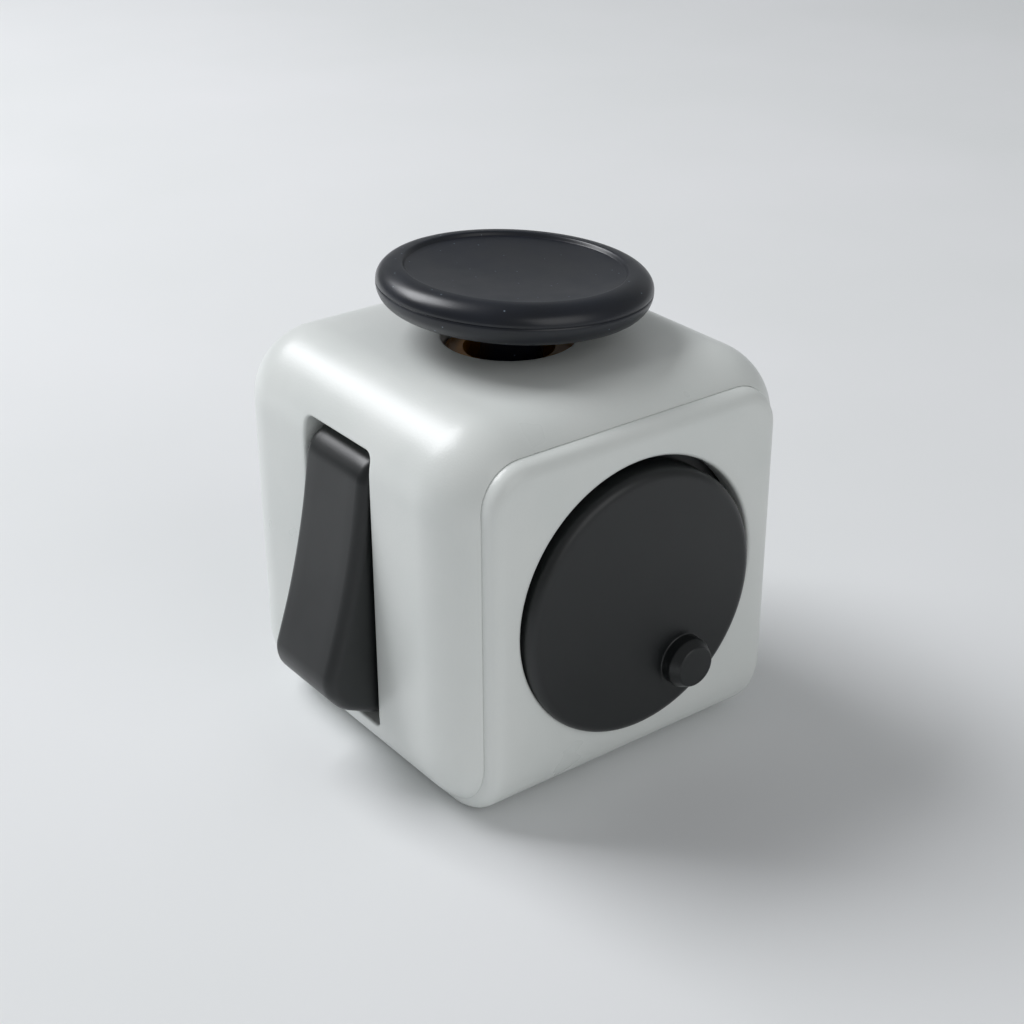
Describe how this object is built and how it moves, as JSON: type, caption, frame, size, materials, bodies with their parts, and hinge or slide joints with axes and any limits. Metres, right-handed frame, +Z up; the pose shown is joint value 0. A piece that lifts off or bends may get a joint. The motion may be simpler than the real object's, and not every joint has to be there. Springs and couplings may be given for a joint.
{
  "type": "fidget cube",
  "caption": "Pocket-size cube with rounded edges and a toy on its faces: spinning dial, rocker, joystick, click buttons, gears with rolling ball, and a thumb dish.",
  "frame": {"origin": "middle of the whole toy's outline, at the level of the underside's flat rim, which stands on the table", "axes": "+Z up through the joystick; the dial faces -Y, the rocker -X, the click buttons +Y, the gears and ball +X"},
  "size_m": [0.0387, 0.0377, 0.0393],
  "materials": {
    "shell_plastic": "fine-textured white moulded ABS with a soft sheen",
    "black_plastic": "satin black moulded ABS",
    "amber_plastic": "amber acetal, lightly glossy",
    "grey_nylon": "plain grey nylon, as moulded",
    "polished_steel": "polished ball-bearing steel",
    "plain_steel": "bright zinc-plated steel",
    "spring_steel": "drawn spring steel"
  },
  "bodies": {
    "casing": {"upper_shell": "shell_plastic", "lower_shell": "shell_plastic", "rocker_housing": "shell_plastic", "dial_carrier": "black_plastic", "joystick_seat": "amber_plastic", "gimbal_frame": "grey_nylon", "button_plate": "grey_nylon", "gear_cradle": "grey_nylon", "rocker_pin": "plain_steel", "gear_axle": "plain_steel", "carrier_screw_upper": "plain_steel", "carrier_screw_lower": "plain_steel", "housing_screw_rear": "plain_steel", "housing_screw_front": "plain_steel", "seat_screw_rear": "plain_steel", "seat_screw_front": "plain_steel", "plate_screw_upper": "plain_steel", "plate_screw_lower": "plain_steel", "cradle_screw_rear": "plain_steel", "cradle_screw_front": "plain_steel", "rocker_detent_leaf": "spring_steel", "joystick_spring": "spring_steel", "ball_spring": "spring_steel", "button_spring_1": "spring_steel", "button_spring_2": "spring_steel", "button_spring_3": "spring_steel", "button_spring_4": "spring_steel", "button_spring_5": "spring_steel"},
    "dial": {"dial": "black_plastic", "dial_clip": "spring_steel"},
    "rocker": {"rocker": "black_plastic"},
    "gimbal": {"gimbal_ring": "grey_nylon", "gimbal_pin": "plain_steel"},
    "joystick": {"joystick_cap": "black_plastic", "joystick_stem": "plain_steel"},
    "button_1": {"button_1": "black_plastic"},
    "button_2": {"button_2": "black_plastic"},
    "button_3": {"button_3": "black_plastic"},
    "button_4": {"button_4": "black_plastic"},
    "button_5": {"button_5": "black_plastic"},
    "gear_1": {"gear_1": "black_plastic"},
    "gear_2": {"gear_2": "black_plastic"},
    "gear_3": {"gear_3": "black_plastic"},
    "ball_cup": {"ball_cup": "black_plastic"},
    "roller_ball": {"roller_ball": "polished_steel"}
  },
  "joints": [
    {"name": "rocker_flip", "type": "hinge", "parent": "casing", "child": "rocker", "pos_m": [-0.01105, 0, 0.01685], "axis": [0, -1, 0], "range_deg": [0, 27.4]},
    {"name": "dial_spin", "type": "hinge", "parent": "casing", "child": "dial", "pos_m": [0.00145, -0.016, 0.0162], "axis": [0, 1, 0], "continuous": true},
    {"name": "stick_tilt_side", "type": "hinge", "parent": "casing", "child": "gimbal", "pos_m": [0.00145, 0, 0.0277], "axis": [1, 0, 0], "range_deg": [-7.4, 7.4], "stiffness_Nm_per_rad": 0.02, "deforming": ["joystick_spring"]},
    {"name": "stick_tilt_front", "type": "hinge", "parent": "gimbal", "child": "joystick", "pos_m": [0.00145, 0, 0.0277], "axis": [0, 1, 0], "range_deg": [-11, 3.8], "stiffness_Nm_per_rad": 0.02, "deforming": ["joystick_spring"]},
    {"name": "button_press_1", "type": "slide", "parent": "casing", "child": "button_1", "axis": [0, -1, 0], "range_m": [0, 0.0011], "stiffness_N_per_m": 250, "deforming": ["button_spring_1"]},
    {"name": "button_press_2", "type": "slide", "parent": "casing", "child": "button_2", "axis": [0, -1, 0], "range_m": [0, 0.0011], "stiffness_N_per_m": 250, "deforming": ["button_spring_2"]},
    {"name": "button_press_3", "type": "slide", "parent": "casing", "child": "button_3", "axis": [0, -1, 0], "range_m": [0, 0.0011], "stiffness_N_per_m": 250, "deforming": ["button_spring_3"]},
    {"name": "button_press_4", "type": "slide", "parent": "casing", "child": "button_4", "axis": [0, -1, 0], "range_m": [0, 0.0011], "stiffness_N_per_m": 250, "deforming": ["button_spring_4"]},
    {"name": "button_press_5", "type": "slide", "parent": "casing", "child": "button_5", "axis": [0, -1, 0], "range_m": [0, 0.0011], "stiffness_N_per_m": 250, "deforming": ["button_spring_5"]},
    {"name": "gear_spin_1", "type": "hinge", "parent": "casing", "child": "gear_1", "pos_m": [0.01445, -0.0036, 0.0224], "axis": [0, 1, 0], "continuous": true},
    {"name": "gear_spin_2", "type": "hinge", "parent": "casing", "child": "gear_2", "pos_m": [0.01445, 0, 0.0224], "axis": [0, 1, 0], "continuous": true},
    {"name": "gear_spin_3", "type": "hinge", "parent": "casing", "child": "gear_3", "pos_m": [0.01445, 0.0036, 0.0224], "axis": [0, 1, 0], "continuous": true},
    {"name": "ball_click", "type": "slide", "parent": "casing", "child": "ball_cup", "axis": [-1, 0, 0], "range_m": [0, 0.001], "stiffness_N_per_m": 400, "deforming": ["ball_spring"]},
    {"name": "ball_roll", "type": "hinge", "parent": "ball_cup", "child": "roller_ball", "pos_m": [0.01535, 0, 0.01], "axis": [0, 0, 1], "continuous": true}
  ]
}
